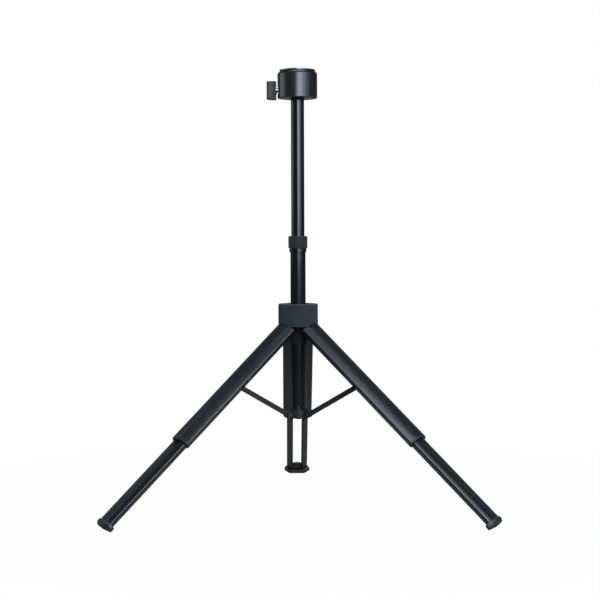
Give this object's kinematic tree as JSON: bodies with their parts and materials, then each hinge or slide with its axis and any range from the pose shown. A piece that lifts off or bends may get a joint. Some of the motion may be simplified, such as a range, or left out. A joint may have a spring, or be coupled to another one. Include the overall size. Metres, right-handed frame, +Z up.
{
  "type": "portable projector stand",
  "caption": "Portable stand with a telescoping mast, a round head with a turning disc and thumb knob, and folding channel legs braced by struts.",
  "frame": {"origin": "centre of the stand's outline on the floor; the mast stands at negative Y of it", "axes": "+Z up along the mast, +Y towards the back leg, thumb knob towards -X"},
  "size_m": [0.5454, 0.4782, 0.633],
  "materials": {
    "gloss_tube": "glossy black anodised tube",
    "satin_leg": "satin black anodised channel",
    "head_metal": "satin black turned metal",
    "hub_plastic": "matte dark grey moulding",
    "cap_plastic": "matte black moulding",
    "strut_steel": "matte black flat bar",
    "pin_steel": "plain steel",
    "foot_rubber": "dark rubber",
    "knob_plastic": "matte dark grey",
    "pad_rubber": "thin dark pad",
    "screw_steel": "polished steel"
  },
  "bodies": {
    "mast": {"lower_tube": "gloss_tube", "collar_sleeve": "hub_plastic", "base_bracket": "cap_plastic"},
    "upper_mast": {"upper_tube": "gloss_tube", "head_body": "head_metal"},
    "disc": {"top_disc": "head_metal", "top_pad": "pad_rubber"},
    "knob": {"clamp_screw": "screw_steel", "thumb_knob": "knob_plastic"},
    "collar": {"twist_collar": "hub_plastic"},
    "hub": {"hub": "hub_plastic", "hub_pin_1": "pin_steel", "hub_pin_2": "pin_steel", "hub_pin_3": "pin_steel"},
    "leg_1": {"upper_leg_1": "satin_leg", "leg_root_1": "hub_plastic", "leg_cap_1": "cap_plastic", "strut_bracket_1": "cap_plastic", "strut_pin_1": "pin_steel"},
    "strut_1": {"strut_1": "strut_steel"},
    "lower_leg_1": {"lower_leg_1": "satin_leg", "foot_1": "foot_rubber"},
    "leg_2": {"upper_leg_2": "satin_leg", "leg_root_2": "hub_plastic", "leg_cap_2": "cap_plastic", "strut_bracket_2": "cap_plastic", "strut_pin_2": "pin_steel"},
    "strut_2": {"strut_2": "strut_steel"},
    "lower_leg_2": {"lower_leg_2": "satin_leg", "foot_2": "foot_rubber"},
    "leg_3": {"upper_leg_3": "satin_leg", "leg_root_3": "hub_plastic", "leg_cap_3": "cap_plastic", "strut_bracket_3": "cap_plastic", "strut_pin_3": "pin_steel"},
    "strut_3": {"strut_3": "strut_steel"},
    "lower_leg_3": {"lower_leg_3": "satin_leg", "foot_3": "foot_rubber"}
  },
  "joints": [
    {"name": "hub_slide", "type": "slide", "parent": "mast", "child": "hub", "axis": [0, 0, 1], "range_m": [0, 0.08436]},
    {"name": "leg_1_fold", "type": "hinge", "parent": "hub", "child": "leg_1", "pos_m": [0, -0.04839, 0.264], "axis": [-1, 0, 0], "range_deg": [0, 48.4]},
    {"name": "strut_1_fold", "type": "hinge", "parent": "leg_1", "child": "strut_1", "pos_m": [0, 0.03265, 0.18469], "axis": [1, 0, 0], "range_deg": [0, 108.85]},
    {"name": "leg_1_slide", "type": "slide", "parent": "leg_1", "child": "lower_leg_1", "axis": [0, -0.7478, 0.6639], "range_m": [0, 0.14]},
    {"name": "leg_2_fold", "type": "hinge", "parent": "hub", "child": "leg_2", "pos_m": [-0.01905, -0.08139, 0.264], "axis": [0.5, -0.866, 0], "range_deg": [0, 48.4]},
    {"name": "strut_2_fold", "type": "hinge", "parent": "leg_2", "child": "strut_2", "pos_m": [-0.08924, -0.12191, 0.18469], "axis": [-0.5, 0.866, 0], "range_deg": [0, 108.85]},
    {"name": "leg_2_slide", "type": "slide", "parent": "leg_2", "child": "lower_leg_2", "axis": [0.6476, 0.3739, 0.6639], "range_m": [0, 0.14]},
    {"name": "leg_3_fold", "type": "hinge", "parent": "hub", "child": "leg_3", "pos_m": [0.01905, -0.08139, 0.264], "axis": [0.5, 0.866, 0], "range_deg": [0, 48.4]},
    {"name": "strut_3_fold", "type": "hinge", "parent": "leg_3", "child": "strut_3", "pos_m": [0.08924, -0.12191, 0.18469], "axis": [-0.5, -0.866, 0], "range_deg": [0, 108.85]},
    {"name": "leg_3_slide", "type": "slide", "parent": "leg_3", "child": "lower_leg_3", "axis": [-0.6476, 0.3739, 0.6639], "range_m": [0, 0.14]},
    {"name": "mast_slide", "type": "slide", "parent": "mast", "child": "upper_mast", "axis": [0, 0, -1], "range_m": [0, 0.19]},
    {"name": "collar_turn", "type": "hinge", "parent": "mast", "child": "collar", "pos_m": [0, -0.07039, 0.384], "axis": [0, 0, 1], "range_deg": [0, 90]},
    {"name": "disc_turn", "type": "hinge", "parent": "upper_mast", "child": "disc", "pos_m": [0, -0.07039, 0.63], "axis": [0, 0, 1], "continuous": true},
    {"name": "knob_turn", "type": "hinge", "parent": "upper_mast", "child": "knob", "pos_m": [-0.03, -0.07039, 0.603], "axis": [-1, 0, 0], "range_deg": [0, 180]}
  ],
  "couplings": [
    {"joint": "leg_1_fold", "follows": "hub_slide", "rad_per_m": 10.013},
    {"joint": "strut_1_fold", "follows": "hub_slide", "rad_per_m": 22.52},
    {"joint": "leg_2_fold", "follows": "hub_slide", "rad_per_m": 10.013},
    {"joint": "strut_2_fold", "follows": "hub_slide", "rad_per_m": 22.52},
    {"joint": "leg_3_fold", "follows": "hub_slide", "rad_per_m": 10.013},
    {"joint": "strut_3_fold", "follows": "hub_slide", "rad_per_m": 22.52}
  ]
}
